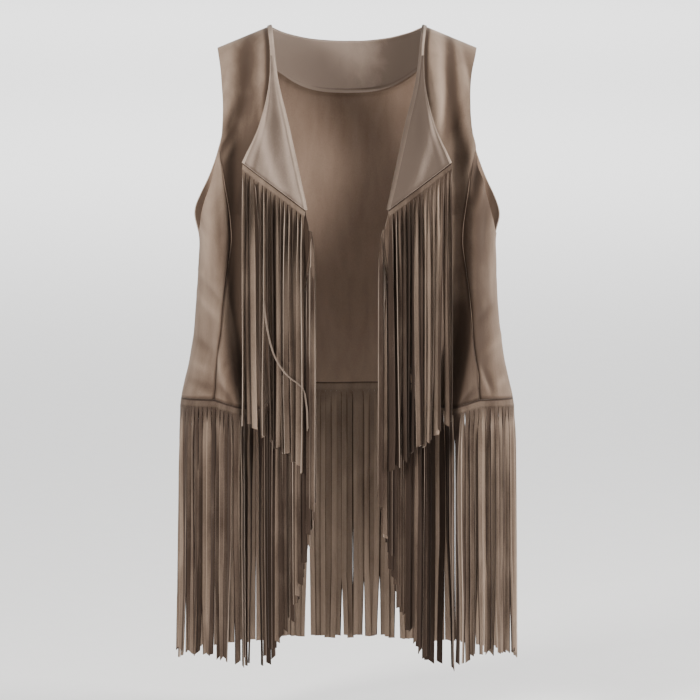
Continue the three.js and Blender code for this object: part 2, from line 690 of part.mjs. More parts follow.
addNode('back_panel', gridWall(backGrid), 1);
addNode('back_neck_facing', gridWall(facingGrid), 1, suedeDark);
addNode('fringe_back', backFringe.solid, 1);
for (const [name, side, seed] of [['right', 1, 23], ['left', -1, 37]]) {
  addNode(`front_${name}`, gridWall(frontGrid, keepFront), side);
  addNode(`side_${name}`, gridWall(sideGrid), side);
  addNode(`lapel_facing_${name}`, gridWall(lapelFacingGrid), side);
  addNode(`fringe_hem_${name}`, hemFringe(seed).solid, side);
  addNode(`fringe_lapel_${name}`, lapelFringe(seed + 4).solid, side);
}

export default group;
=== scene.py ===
import math
import random

import bmesh
import bpy
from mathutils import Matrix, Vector, noise


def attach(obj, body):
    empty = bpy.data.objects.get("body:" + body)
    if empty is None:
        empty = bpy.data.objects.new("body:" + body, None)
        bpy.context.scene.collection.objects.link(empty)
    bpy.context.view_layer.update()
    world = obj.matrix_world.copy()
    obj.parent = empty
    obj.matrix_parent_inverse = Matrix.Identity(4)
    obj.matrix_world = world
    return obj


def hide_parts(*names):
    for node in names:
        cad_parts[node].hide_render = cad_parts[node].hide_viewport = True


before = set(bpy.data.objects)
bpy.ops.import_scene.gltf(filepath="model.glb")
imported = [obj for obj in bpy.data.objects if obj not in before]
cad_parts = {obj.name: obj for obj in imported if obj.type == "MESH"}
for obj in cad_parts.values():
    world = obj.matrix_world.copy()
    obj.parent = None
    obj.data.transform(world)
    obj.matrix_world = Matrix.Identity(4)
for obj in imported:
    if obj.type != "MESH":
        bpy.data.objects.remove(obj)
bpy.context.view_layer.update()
print("vest: frame loaded,", len(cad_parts), "nodes")

# Form of the vest in millimetres, as in the CAD source.
wallThick = 1.6
facingThick = 1.1
fringeThick = 1.1
seamGap = 0.4
trimGap = 0.1  # narrower than in the CAD source, where the gap would show as a light line
neckHalf = 104
neckPointZ = -4
shoulderFall = 0.414
domeDepth = 110
seamRow, lapelRow, hemRow = 7, 10, 21  # rows of the front: long seam's start, lapel's end, hem
backTop, backLow = -33, -505  # ends of the back's edge table
backTopAngle = 57.2
backHem, backHemFall = -500, 5  # height at the middle, and the fall from there to the sides
sideHem, sideHemFall, sideFirstAngle = -499, 6, 54
frontLowest = -512

bodySections = {
    "z": [30, 0, -60, -100, -166, -213, -256, -283, -336, -406, -450, -510, -860],
    "halfWidth": [207, 207, 207, 211, 209, 209, 209, 200, 201, 206, 212, 225, 231],
    "front": [66, 76, 90, 100, 112, 118, 122, 123, 124, 122, 120, 118, 118],
    "back": [60, 66, 84, 99, 105, 103, 100, 98, 98, 104, 112, 128, 131],
}
frontRows = {
    "row": list(range(22)),
    "inX": [100, 98.5, 96.5, 94, 90, 83.5, 76.5, 70.5, 64.5, 58.5, 52, 50.5, 50.5, 54.5, 60, 65.5, 71, 77,
            87, 96, 105, 117],
    "inZ": [-4, -12, -28, -50, -75, -101, -128, -155, -182, -210, -240, -264, -290, -318, -346, -376, -406,
            -433, -453, -474, -494, -512],
    "outX": [174, 172, 169, 166.5, 165, 165.5, 167.5, 170.5, 166.5, 162, 157.5, 154.5, 154, 157, 160.5, 164,
             167.5, 170.5, 173, 175, 176.5, 178],
    "outZ": [-33, -42, -58, -78, -99, -120, -143, -165, -188, -212, -238, -264, -290, -316, -342, -370, -398,
             -424, -446, -465, -482, -499],
}
lapelEdge = {
    "row": list(range(11)),
    "roll": [1.0, 1.1, 1.3, 1.8, 2.6, 3.2, 3.4, 3.2, 2.8, 2.2, 1.2],
    "x": [106.5, 104.5, 102.6, 102, 102.5, 105.5, 110.5, 117, 124.5, 131.5, 138],
    "z": [-6, -14, -29, -48, -68, -90, -111, -132, -150, -164, -178],
    "lift": [0.5, 0.8, 1, 1.6, 3, 6, 9, 12, 14, 16, 17],
}
frontFolds = {
    "valley": {"z": [-60, -120, -200, -300, -400, -460, -520], "x": [133, 139, 145, 145, 142, 131, 117],
               "width": [14, 15, 15, 16, 17, 18, 18], "depth": [0, 10, 18, 25, 31, 35, 37]},
    "innerRidge": {"z": [-230, -300, -400, -520], "x": [112, 112, 110, 90],
                   "width": [18, 18, 17, 15], "depth": [0, -5, -7, -7]},
    "outerRidge": {"z": [-90, -150, -300, -400, -520], "x": [156, 160, 172, 168, 145],
                   "width": [10, 10, 14, 15, 13], "depth": [0, -2, -4, -6, -9]},
    "openingEdge": {"z": [-60, -190, -290, -400, -520], "x": [90, 62, 47, 66, 96],
                    "width": [24, 30, 32, 30, 24], "depth": [0, -5, -11, -6, 0]},
}
sideTop = {"angle": [54, 58.4, 63, 68, 73, 80, 90], "z": [-165, -187, -213, -235, -259, -275, -283]}
backEdge = {
    "z": [-33, -64, -99, -128, -166, -205, -235, -256, -270, -283, -520],
    "angle": [57.2, 54.7, 51.9, 52.7, 55.9, 62.9, 72.5, 81, 86, 90, 90],
}
backNeck = {"x": [0, 24, 45, 67, 88, 104], "z": [-27, -26.2, -24, -19.5, -12.5, -4]}
facingLower = {"x": [0, 35, 57, 78, 98, 125, 156], "z": [-99, -97, -92, -82, -68, -50, -40]}


def clamp(value, low=0.0, high=1.0):
    return min(high, max(low, value))


def mix(a, b, t):
    return a + (b - a) * t


def ease(t):
    t = clamp(t)
    return t * t * (3 - 2 * t)


def bell(value, middle, width):
    return math.exp(-((value - middle) / width) ** 2)


def heading(angle):
    return Vector((math.cos(angle), math.sin(angle), 0))


def onSide(side, p):
    return Vector((p.x * side, p.y, p.z))


def hermite(keys, values, key):
    i = 0
    while i < len(keys) - 2 and key > keys[i + 1]:
        i += 1
    span = keys[i + 1] - keys[i]
    t = clamp((key - keys[i]) / span)
    middle = (values[i + 1] - values[i]) / span
    before = after = middle
    if i > 0:
        before = ((values[i] - values[i - 1]) / (keys[i] - keys[i - 1]) + middle) / 2
    if i < len(keys) - 2:
        after = ((values[i + 2] - values[i + 1]) / (keys[i + 2] - keys[i + 1]) + middle) / 2
    t2, t3 = t * t, t * t * t
    return ((2 * t3 - 3 * t2 + 1) * values[i] + (t3 - 2 * t2 + t) * span * before
            + (3 * t2 - 2 * t3) * values[i + 1] + (t3 - t2) * span * after)


class Curve:  # one column of a table, sampled once and then read quickly
    steps = 500

    def __init__(self, table, keyName, valueName):
        pairs = sorted(zip(table[keyName], table[valueName]))
        keys, values = [p[0] for p in pairs], [p[1] for p in pairs]
        self.low, self.high = keys[0], keys[-1]
        self.samples = [hermite(keys, values, mix(self.low, self.high, k / self.steps))
                        for k in range(self.steps + 1)]

    def __call__(self, key):
        place = clamp((key - self.low) / (self.high - self.low)) * self.steps
        k = min(self.steps - 1, int(place))
        return mix(self.samples[k], self.samples[k + 1], place - k)


halfWidthAt = Curve(bodySections, "z", "halfWidth")
depthAt = {"front": Curve(bodySections, "z", "front"), "back": Curve(bodySections, "z", "back")}
rowOf = {name: Curve(frontRows, "row", name) for name in ("inX", "inZ", "outX", "outZ")}
lapelOf = {name: Curve(lapelEdge, "row", name) for name in ("roll", "x", "z", "lift")}
foldCurves = [(table["z"][0], *(Curve(table, "z", name) for name in ("x", "width", "depth")))
              for table in frontFolds.values()]
sideTopZ = Curve(sideTop, "angle", "z")
backEdgeAngle = Curve(backEdge, "z", "angle")
backNeckZ = Curve(backNeck, "x", "z")
facingLowZ = Curve(facingLower, "x", "z")
seamXAt = Curve({"z": frontRows["outZ"][seamRow:], "x": frontRows["outX"][seamRow:]}, "z", "x")

# Creases that show from a step away: a trough has a positive depth, a ridge a negative one.
creases = {
    "left": [
        {"from": (136, -8), "to": (141, -110), "width": 13, "depth": 4.0},
        {"from": (141, -100), "to": (166, -160), "width": 9, "depth": 4.5},
        {"from": (160, -36), "to": (156, -112), "width": 9, "depth": -2.6},
        {"from": (115, -20), "to": (113, -120), "width": 6, "depth": -1.6},
        {"from": (150, -150), "to": (166, -182), "width": 6, "depth": -2.6},
        {"from": (184, -215), "to": (188, -330), "width": 8, "depth": -2.2},
        {"from": (172, -220), "to": (170, -320), "width": 6, "depth": 2.0},
        {"from": (190, -338), "to": (166, -374), "width": 5, "depth": 2.2},
        {"from": (196, -330), "to": (172, -360), "width": 4.5, "depth": -1.8},
        {"from": (198, -362), "to": (170, -392), "width": 5, "depth": -1.6},
        {"from": (206, -420), "to": (182, -436), "width": 6, "depth": 1.6},
        {"from": (208, -452), "to": (180, -462), "width": 6, "depth": -1.4},
        {"from": (214, -476), "to": (176, -484), "width": 6, "depth": 1.5},
        {"from": (167, -480), "to": (150, -508), "width": 4.5, "depth": 3.2},
        {"from": (173, -420), "to": (160, -500), "width": 5, "depth": -2.6},
        {"from": (196, -492), "to": (178, -496), "width": 4, "depth": -1.2},
    ],
    "right": [
        {"from": (121, -8), "to": (120, -160), "width": 8, "depth": -4.8},
        {"from": (138, -16), "to": (141, -130), "width": 10, "depth": 2.4},
        {"from": (149, -22), "to": (164, -108), "width": 4.5, "depth": -1.8},
        {"from": (165, -34), "to": (172, -130), "width": 8, "depth": 3.6},
        {"from": (154, -26), "to": (158, -60), "width": 7, "depth": 1.6},
        {"from": (174, -140), "to": (157, -206), "width": 6, "depth": -3.0},
        {"from": (181, -165), "to": (166, -232), "width": 5.5, "depth": 3.4},
        {"from": (184, -190), "to": (172, -246), "width": 5, "depth": -2.6},
        {"from": (192, -225), "to": (182, -300), "width": 7, "depth": 1.8},
        {"from": (206, -262), "to": (199, -340), "width": 8, "depth": -1.6},
        {"from": (198, -372), "to": (172, -398), "width": 6, "depth": 1.5},
        {"from": (206, -420), "to": (178, -440), "width": 6, "depth": -1.5},
        {"from": (173, -452), "to": (190, -492), "width": 4.5, "depth": -3.2},
        {"from": (182, -458), "to": (200, -496), "width": 5, "depth": 2.6},
        {"from": (214, -474), "to": (196, -484), "width": 6, "depth": -1.4},
        {"from": (168, -486), "to": (148, -507), "width": 5, "depth": 2.4},
    ],
    "back": [
        {"from": (-150, -70), "to": (-80, -170), "width": 13, "depth": 3.4},
        {"from": (150, -60), "to": (96, -160), "width": 12, "depth": 3.0},
        {"from": (-120, -250), "to": (-186, -300), "width": 10, "depth": 2.8},
        {"from": (124, -240), "to": (188, -306), "width": 10, "depth": 2.6},
        {"from": (-60, -330), "to": (-20, -470), "width": 13, "depth": -2.6},
        {"from": (40, -300), "to": (70, -470), "width": 12, "depth": 2.8},
        {"from": (-160, -400), "to": (-110, -480), "width": 9, "depth": 2.4},
        {"from": (170, -410), "to": (118, -476), "width": 9, "depth": -2.4},
    ],
}

# Shade painted into the hollows beside the fringe: from an outer edge inwards, with the softness of that
# edge; base is the shade painted outside the hollow, darker lower down.
hollows = {
    "left": {"z": [-5, -50, -90, -130, -145, -160, -190, -222, -250, -300, -357, -400, -450, -510],
             "outer": [136, 141, 144, 149, 158, 168, 166, 162, 159, 159, 157, 151, 146, 142],
             "soft": [16, 16, 14, 8, 8, 5, 4, 3, 3, 3, 4, 5, 6, 6],
             "inner": [114, 114, 114, 114, 106, 90, 60, 40, 40, 40, 40, 40, 40, 40],
             "depth": [0.15, 0.3, 0.36, 0.46, 0.6, 0.74, 0.86, 0.96, 1.02, 1.02, 0.96, 0.88, 0.78, 0.65],
             "base": [-0.02, 0, 0, 0, 0.02, 0.04, 0.1, 0.16, 0.2, 0.24, 0.27, 0.3, 0.3, 0.3]},
    "right": {"z": [-5, -50, -100, -150, -190, -236, -300, -357, -430, -510],
              "outer": [141, 145, 148, 154, 162, 169, 171, 171, 175, 176],
              "soft": [9, 9, 12, 14, 14, 13, 12, 14, 16, 16],
              "inner": [131, 131, 129, 110, 60, 40, 40, 40, 40, 40],
              "depth": [0.3, 0.45, 0.48, 0.44, 0.34, 0.34, 0.38, 0.54, 0.66, 0.66],
              "base": [-0.16, -0.14, -0.02, 0.04, 0.05, 0.04, 0.04, 0.08, 0.16, 0.22]},
}
hollowOf = {side: {name: Curve(table, "z", name) for name in ("outer", "soft", "inner", "depth", "base")}
            for side, table in hollows.items()}


# Shade painted on the cloth at a place: 1 in a deep hollow, darker in the creases' troughs, below 0 where a
# ridge is painted light as if lit.
def paintedShadeAt(side, x, z):
    if side == "back":
        return 0.12 * creaseDepth(side, x, z)
    band = hollowOf[side]
    edge = ease((band["outer"](z) - x) / band["soft"](z) + 0.5) * ease((x - band["inner"](z)) / 12 + 0.5)
    shade = band["base"](z) * (1 - edge) + band["depth"](z) * edge + 0.13 * creaseDepth(side, x, z)
    # painted shade over the right side panel, fading out towards its outer edge, which is left light as if
    # lit by the side lamp
    if side == "right":
        low = ease((-z - 430) / 60)
        shade += mix(0.7, 0.3, low) * ease((210 - x) / 38) * clamp((-z - 130) / 60) * (1 - edge)
    return shade


def creaseDepth(name, x, z):
    total = 0.0
    for crease in creases[name]:
        (x0, z0), (x1, z1) = crease["from"], crease["to"]
        dx, dz = x1 - x0, z1 - z0
        t = clamp(((x - x0) * dx + (z - z0) * dz) / (dx * dx + dz * dz))
        away = math.hypot(x - x0 - t * dx, z - z0 - t * dz) / crease["width"]
        if away < 2.6:
            total += crease["depth"] * math.exp(-away * away) * (0.35 + 0.65 * math.sin(math.pi * t))
    return total


def shoulderZ(x):
    return neckPointZ - (abs(x) - neckHalf) * shoulderFall


def frontFold(x, z):
    total = 0.0
    for top, centre, width, depth in foldCurves:
        if z < top:
            total += depth(z) * bell(x, centre(z), width(z))
    angle = math.degrees(math.asin(clamp(x / halfWidthAt(z))))
    return total * clamp((86 - angle) / 22)


def backFold(x, z):
    reach = clamp(1 - (abs(x) / 205) ** 4)
    return 4.5 * clamp((-z - 120) / 380) * reach * math.cos(x / 19 + 0.6)


def domeAt(x, z):
    h = max(0.0, shoulderZ(x) - z)
    return math.sqrt(1 - (1 - h / domeDepth) ** 2) if h < domeDepth else 1.0


def bodyBase(x, z):
    return -depthAt["front"](z) * math.sqrt(clamp(1 - (x / halfWidthAt(z)) ** 2)) * domeAt(x, z)


def bodyY(half, x, z, cosine=None):
    across = math.sqrt(clamp(1 - (x / halfWidthAt(z)) ** 2)) if cosine is None else cosine
    fade = clamp((shoulderZ(x) - z) / 30)
    if half == "front":
        return -depthAt["front"](z) * across * domeAt(x, z) + frontFold(abs(x), z) * fade
    return depthAt["back"](z) * across * domeAt(x, z) - backFold(x, z) * fade


def bodyNormal(half, x, z, cosine=None):
    y = bodyY(half, x, z, cosine)

    def field(px, py, pz):
        fold = frontFold(abs(px), pz) if half == "front" else -backFold(px, pz)
        width, depth = halfWidthAt(pz), depthAt[half](pz)
        return (py - fold) ** 2 - depth * depth * (1 - (px / width) ** 2) * domeAt(px, pz) ** 2

    s = 0.3
    return Vector((field(x + s, y, z) - field(x - s, y, z), field(x, y + s, z) - field(x, y - s, z),
                   field(x, y, z + s) - field(x, y, z - s))).normalized()


# Point of the body's outer face with its creases; side is "left", "right" or "back".
def bodyPoint(side, x, z, cosine=None, depthIn=0.0, tuck=0.0):
    half = "back" if side == "back" else "front"
    n = bodyNormal(half, x, z, cosine)
    y = bodyY(half, x, z, cosine)
    fade = clamp((shoulderZ(x) - z) / 25)
    seed = {"left": 3.1, "right": 8.4, "back": 15.7}[side]
    soft = 1.1 * noise.noise(Vector((x / 46, z / 62, seed)))
    soft += 0.5 * noise.noise(Vector((x / 17, z / 25, seed)))
    crease = creaseDepth(side, x if side == "back" else abs(x), z)
    return Vector((x, y, z)) - n * (depthIn + tuck + (crease - soft) * fade)


# Materials: a small wrapper lets shader sums be written as expressions.
class Field:
    def __init__(self, maker, socket):
        self.maker, self.socket = maker, socket

    def combine(self, operation, first, second):
        made = self.maker.node("ShaderNodeMath", {"operation": operation}, {0: first, 1: second})
        return Field(self.maker, made.outputs[0])

    def __add__(self, other):
        return self.combine("ADD", self, other)

    def __sub__(self, other):
        return self.combine("SUBTRACT", self, other)

    def __rsub__(self, other):
        return self.combine("SUBTRACT", other, self)

    def __mul__(self, other):
        return self.combine("MULTIPLY", self, other)


class Finish:
    def __init__(self, name):
        self.material = bpy.data.materials.new(name)
        self.material.use_nodes = True
        self.tree = self.material.node_tree
        self.shader = self.tree.nodes["Principled BSDF"]

    def node(self, kind, settings=None, inputs=None):
        made = self.tree.nodes.new(kind)
        for key, value in (settings or {}).items():
            setattr(made, key, value)
        self.fill(made, inputs or {})
        return made

    def fill(self, target, inputs):
        for key, value in inputs.items():
            socket = target.inputs[key]
            if isinstance(value, Field):
                self.tree.links.new(value.socket, socket)
            elif isinstance(value, bpy.types.NodeSocket):
                self.tree.links.new(value, socket)
            else:
                socket.default_value = value

    def objectPlace(self, scale):
        place = self.node("ShaderNodeTexCoord").outputs["Object"]
        return self.node("ShaderNodeMapping", inputs={"Vector": place, "Scale": scale}).outputs[0]

    def noise(self, scale, size, detail=2.0, distortion=0.0):
        made = self.node("ShaderNodeTexNoise", inputs={
            "Vector": self.objectPlace(scale), "Scale": size, "Detail": detail, "Distortion": distortion})
        return Field(self, made.outputs["Fac"])

    def blend(self, factor, first, second):
        made = self.node("ShaderNodeMix", {"data_type": "RGBA"}, {0: factor, 6: first, 7: second})
        return made.outputs[2]


# Napped suede: hand-stroked patches, streaks along the hang, fine fibres, and the painted shade.
def suede(name, look):
    finish = Finish(name)
    patches = finish.noise((1, 1, 0.62), look["patchScale"], 3.0, 0.9)
    strokes = finish.noise((1, 1, 0.22), 60.0, 2.0, 0.4)
    fibres = finish.noise((1, 1, 0.6), 900.0, 2.0)
    painted = finish.node("ShaderNodeAttribute", {"attribute_name": look["attribute"]})
    shade = Field(finish, painted.outputs["Fac"])
    tone = (patches - 0.5) * look["patches"] + (strokes - 0.5) * look["strokes"]
    tone = tone + (fibres - 0.5) * 0.35 + 0.5 - shade * look["shadeShare"]
    colour = finish.blend(tone, (*look["dark"], 1), (*look["light"], 1))
    colour = finish.blend(shade * look["deepShare"], colour, (*look["deep"], 1))
    relief = fibres * 0.5 + strokes * 0.6 + patches * 1.2
    bump = finish.node("ShaderNodeBump", inputs={
        "Height": relief, "Strength": 0.5, "Distance": look["bump"]})
    finish.fill(finish.shader, {
        "Base Color": colour, "Roughness": 0.96 - (patches - 0.5) * 0.25, "Normal": bump.outputs[0],
        "Specular IOR Level": 0.12, "Sheen Weight": look["sheen"], "Sheen Roughness": 0.45,
        "Sheen Tint": (*look["sheenColour"], 1)})
    return finish.material


outerLook = {"dark": (0.098, 0.066, 0.048), "light": (0.275, 0.204, 0.155), "patches": 1.1, "strokes": 0.6,
             "patchScale": 15.0, "sheen": 0.15, "sheenColour": (0.93, 0.8, 0.7), "bump": 0.0007,
             "attribute": "shade", "shadeShare": 0.8, "deep": (0.026, 0.016, 0.011), "deepShare": 0.88}
insideLook = {"dark": (0.135, 0.09, 0.065), "light": (0.3, 0.216, 0.165), "patches": 0.55, "strokes": 0.5,
              "patchScale": 10.0, "sheen": 0.08, "sheenColour": (0.85, 0.7, 0.6), "bump": 0.0005,
              "attribute": "innerShade", "shadeShare": 0.7, "deep": (0.04, 0.027, 0.02), "deepShare": 0.7}
facingLook = {"dark": (0.105, 0.078, 0.062), "light": (0.285, 0.22, 0.18), "patches": 0.6, "strokes": 0.6,
              "patchScale": 18.0, "sheen": 0.15, "sheenColour": (0.93, 0.84, 0.76), "bump": 0.0007,
              "attribute": "shade", "shadeShare": 0.9, "deep": (0.045, 0.032, 0.025), "deepShare": 0.45}
fringeLook = {"dark": (0.045, 0.029, 0.021), "light": (0.25, 0.185, 0.14), "patches": 0.5, "strokes": 0.6,
              "patchScale": 20.0, "sheen": 0.1, "sheenColour": (0.93, 0.8, 0.7), "bump": 0.0005,
              "attribute": "shade", "shadeShare": 0.9, "deep": (0.014, 0.009, 0.007), "deepShare": 0.8}
# Cut edges are a lighter suede; the lapel's turned side also takes this finish, which there is a painted
# highlight along the fold.
cutEdgeAndFoldHighlightLook = {"dark": (0.2, 0.152, 0.12), "light": (0.38, 0.3, 0.245), "patches": 0.8, "strokes": 0.4,
            "patchScale": 40.0, "sheen": 0.15, "sheenColour": (0.95, 0.88, 0.8), "bump": 0.0003,
            "attribute": "shade", "shadeShare": 0.6, "deep": (0.035, 0.024, 0.018), "deepShare": 1.0}
finishes = {
    "outer": suede("suedeOuter", outerLook),
    "inside": suede("suedeInside", insideLook),
    "facing": suede("suedeFacing", facingLook),
    "fringe": suede("suedeFringe", fringeLook),
    "edge": suede("suedeCutEdgeAndFoldHighlight", cutEdgeAndFoldHighlightLook),
}
print("vest: materials made")


def newGrid(bm, columns, rows, place, shade, innerShade=None):
    layer = bm.verts.layers.float.get("shade") or bm.verts.layers.float.new("shade")
    inner = bm.verts.layers.float.new("innerShade") if innerShade else None
    made = bmesh.ops.create_grid(bm, x_segments=columns, y_segments=rows, size=0.5)
    for v in made["verts"]:
        u, w = v.co.x + 0.5, v.co.y + 0.5
        v.co = place(u, w) * 0.001
        v[layer] = shade(u, w)
        if inner:
            v[inner] = innerShade(u, w)
    return made["verts"]


def addObject(name, data):
    thing = bpy.data.objects.new(name, data)
    bpy.context.scene.collection.objects.link(thing)
    return thing


# Turn a sheet's faces to point along a hint, thicken it and keep its cut edges sharp.
def finishSheet(name, bm, materials, thick, outward, offset=-1.0, rimBevel=0.0):
    bmesh.ops.remove_doubles(bm, verts=bm.verts, dist=2e-5)
    bmesh.ops.recalc_face_normals(bm, faces=bm.faces)
    bm.normal_update()
    if sum(f.normal.dot(outward(f.calc_center_median())) * f.calc_area() for f in bm.faces) < 0:
        bmesh.ops.reverse_faces(bm, faces=bm.faces)
    for f in bm.faces:
        f.smooth = True
    mesh = bpy.data.meshes.new(name)
    bm.to_mesh(mesh)
    bm.free()
    for key in materials:
        mesh.materials.append(finishes[key])
    piece = addObject(name, mesh)
    solid = piece.modifiers.new("thickness", "SOLIDIFY")
    solid.thickness = thick * 0.001
    solid.offset = offset
    solid.use_even_offset = False
    solid.material_offset = 1 if len(materials) == 3 else 0
    solid.material_offset_rim = len(materials) - 1
    if rimBevel:
        bevel = piece.modifiers.new("rim", "BEVEL")
        bevel.width = rimBevel * 0.001
        bevel.segments = 2
        bevel.limit_method = "ANGLE"
        bevel.angle_limit = math.radians(55)
    bpy.context.view_layer.update()
    made = bpy.data.meshes.new_from_object(piece.evaluated_get(bpy.context.evaluated_depsgraph_get()))
    piece.modifiers.clear()
    piece.data = made
    made.name = name
    shaped = bmesh.new()
    shaped.from_mesh(made)
    for edge in shaped.edges:
        edge.smooth = not (len(edge.link_faces) == 2 and edge.calc_face_angle(0) > math.radians(42))
    shaped.to_mesh(made)
    shaped.free()
    return piece


def awayFromMiddle(p):
    return Vector((p.x, p.y, 0))


def towardsFront(p):
    return Vector((0, -1, 0))


panelCloth, facingCloth = ["outer", "inside", "edge"], ["facing", "facing", "edge"]
panelBevel, facingBevel = 0.35, 0.25


# Centre front with its roll and lapel.
def frontX(t, s):
    inner = mix(rollCentre(min(t, lapelRow)).x, rowOf["inX"](t), ease(t - lapelRow))
    return mix(rowOf["outX"](t) - seamGap, inner, s)


def frontPlace(t, s):
    x = frontX(t, s)
    z = mix(rowOf["outZ"](t), rowOf["inZ"](t), s)
    if t < 1:
        z += (shoulderZ(x) - mix(frontRows["outZ"][0], frontRows["inZ"][0], s)) * (1 - t)
    return x, z


def rollCentre(t):
    roll = lapelOf["roll"](t)
    x = rowOf["inX"](t) + roll + wallThick
    z = mix(shoulderZ(x), rowOf["inZ"](t), min(1, t))
    back = roll + (wallThick + seamGap) * clamp(1 - t)
    return Vector((x, min(bodyY("front", x, z), -seamGap / 2) - back, z))


def lapelFace(t, q):
    centre = rollCentre(t)
    x = mix(centre.x, lapelOf["x"](t), q)
    z = mix(centre.z, lapelOf["z"](t), q)
    if t < 1:
        z = mix(shoulderZ(x), z, t)
    y = (centre.y - lapelOf["roll"](t) - wallThick + bodyBase(x, z) - bodyBase(centre.x, centre.z)
         - lapelOf["lift"](t) * q ** 1.4)
    return Vector((x, y, z))


# Soft wave of the lapel's face, nought at the fold.
def lapelWave(side, t, q):
    wave = 1.3 * math.sin(q * 5.2 + t * 0.55 + side) * math.sin(min(1.0, q * 2.5) * math.pi / 2)
    return wave * clamp((t - 2) / 4)


def tuckAt(distance):
    return 0.9 * bell(distance, 0, 2.2)


bodyColumns, frontRowCount, lapelRowCount = 44, 176, 80
rollSteps, lapelSteps = 7, 22


def buildFront(side, name, sideName):
    bm = bmesh.new()
    rowShare = lapelRowCount / frontRowCount  # share of the cells' rows that the lapel covers

    def rowAt(w):
        if w <= rowShare:
            return lapelRow * w / rowShare
        return lapelRow + (hemRow - lapelRow) * (w - rowShare) / (1 - rowShare)

    def bodyCell(u, w):
        t, s = rowAt(w), u
        x, z = frontPlace(t, s)
        tuck = tuckAt(rowOf["outX"](t) - seamGap - x) if t > seamRow else 0.0
        p = bodyPoint(sideName, x, z, tuck=tuck)
        if t <= lapelRow:  # creases fade towards the roll
            flat = Vector((x, bodyY("front", x, z), z))
            p = flat.lerp(p, clamp((1 - s) * 8))
        if t < 0.5:
            p.y = min(p.y, -seamGap / 2)
        return onSide(side, p)

    def lapelCell(u, w):
        t = lapelRow * w
        k = round(u * (rollSteps + lapelSteps))
        centre = rollCentre(t)
        roll = lapelOf["roll"](t)
        if k <= rollSteps:
            angle = math.radians(mix(-90, 90, k / rollSteps))
            p = Vector((centre.x - roll * math.cos(angle), centre.y - roll * math.sin(angle), centre.z))
        else:
            q = (k - rollSteps) / lapelSteps
            p = lapelFace(t, q)
            p.y += wallThick - lapelWave(side, t, q)
        return onSide(side, p)

    # Shade painted on the front: its hollows and creases, a painted shadow beside the lapel's outer edge,
    # and dark lines at the long seam and the hem.
    def bodyShade(u, w):
        t = rowAt(w)
        x, z = frontPlace(t, u)
        shade = paintedShadeAt(sideName, x, z)
        if t > seamRow:
            shade += 0.6 * bell(x, rowOf["outX"](t), 1.7)  # dark line of the long seam
        if t < lapelRow + 0.5:  # painted shadow beside the lapel's outer edge
            past = x - lapelOf["x"](min(t, lapelRow))
            shade += 0.95 * bell(past, 2.6, 3.2) * clamp(5.4 - t) + 0.3 * bell(past, 0, 8) * clamp(t - 4)
        return shade + 0.55 * ease((t - 20.75) * 4)

    # Painted shade: the right roll darker than the left one, as if turned away from the lamp, and both
    # darker at the neck end.
    def lapelShade(u, w):
        onFold = 0.78 * ease(1.6 - u * 4) if side > 0 else 0.0
        return onFold + 0.5 * clamp(1.2 - lapelRow * w)

    newGrid(bm, bodyColumns, frontRowCount, bodyCell, bodyShade)
    lapelCorners = newGrid(bm, rollSteps + lapelSteps, lapelRowCount, lapelCell, lapelShade)
    for f in {f for v in lapelCorners for f in v.link_faces}:
        f.material_index = 1  # its turned side takes the lighter finish of the cut edges, a painted highlight along the fold

    def outward(p):
        return Vector((0, -1, 0)) if p.z < -0.26 else Vector((0, 0, 0))

    return finishSheet(name, bm, panelCloth, wallThick, outward, rimBevel=panelBevel)


facingRows, facingAcross = (2.6, 9.97), (0.03, 0.965)  # what the facing covers of the lapel


def buildLapelFacing(side, name):
    bm = bmesh.new()

    def cell(u, w):
        t, q = mix(*facingRows, w), mix(*facingAcross, u)
        p = lapelFace(t, q)
        p.y -= 0.35 + lapelWave(side, t, q)
        return onSide(side, p)

    # Light and shade painted on the lapel facing: a painted highlight along the left one's fold, along the
    # outer edge and in a diagonal band, painted shade in a dip in the middle, the right facing painted
    # darker overall, and dark lines near the outer edge and at the lower edge.
    def shade(u, w):
        foldLight = (-0.5 if side < 0 else 0.0) * bell(u, 0.08, 0.1)
        edgeLight = -0.4 * bell(u, 0.93, 0.04) * clamp(w * 4)
        edgeLines = 0.22 * bell(u, 0.84, 0.03) * clamp(w * 4) + 0.4 * ease((w - 0.965) * 40)
        crossLight = -0.5 * bell(u * 0.8 + w, 1.32, 0.11)
        paintedDip = 0.45 * bell(u, 0.5, 0.22) * bell(w, 0.5, 0.22)
        return foldLight + edgeLight + edgeLines + crossLight + paintedDip + (0.72 if side > 0 else 0.12)

    newGrid(bm, 44, 72, cell, shade)
    return finishSheet(name, bm, facingCloth, facingThick, towardsFront, 1.0, facingBevel)


def seamAngle(z):
    return math.degrees(math.asin(seamXAt(z) / halfWidthAt(z)))


